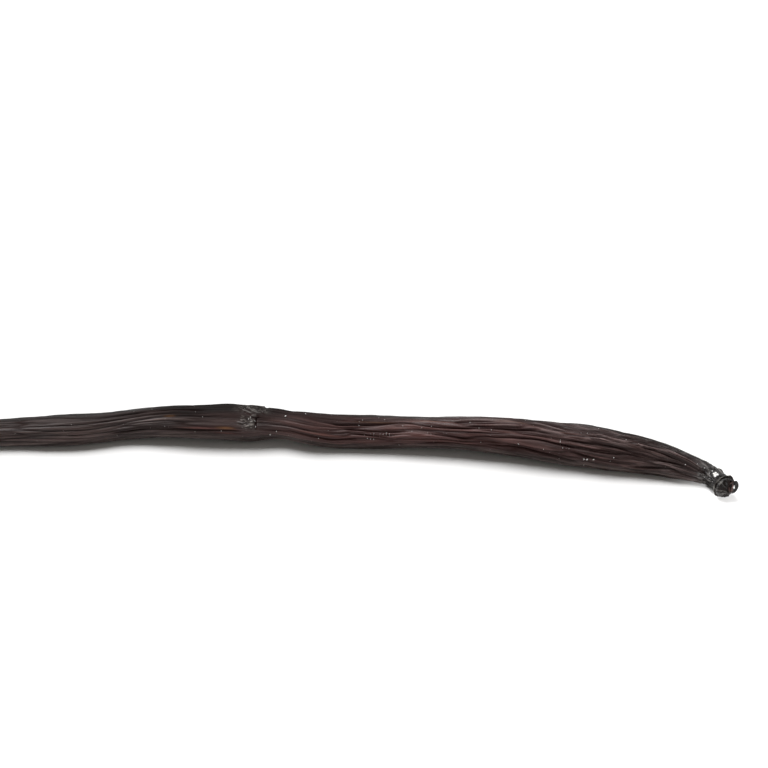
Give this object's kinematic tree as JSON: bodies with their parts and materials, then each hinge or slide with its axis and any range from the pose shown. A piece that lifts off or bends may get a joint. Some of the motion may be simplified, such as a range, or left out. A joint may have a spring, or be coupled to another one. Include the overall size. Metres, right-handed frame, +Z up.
{
  "type": "vanilla pod",
  "caption": "Cured vanilla pod: a long, thin, bowed and wrinkled dark pod with a waist-like scar, a narrow neck and a small collar at the stem end.",
  "frame": {"origin": "middle of the bottom face of the pod's box, on the surface the pod lies on", "axes": "+X along the pod from the blossom tip to the stem end, +Y towards the outside of its bow, +Z up"},
  "size_m": [0.1746, 0.026, 0.007],
  "materials": {
    "pod_skin": "oily satin, very dark brown, long wrinkles"
  },
  "bodies": {
    "root": {"vanilla_pod": "pod_skin"}
  },
  "joints": []
}
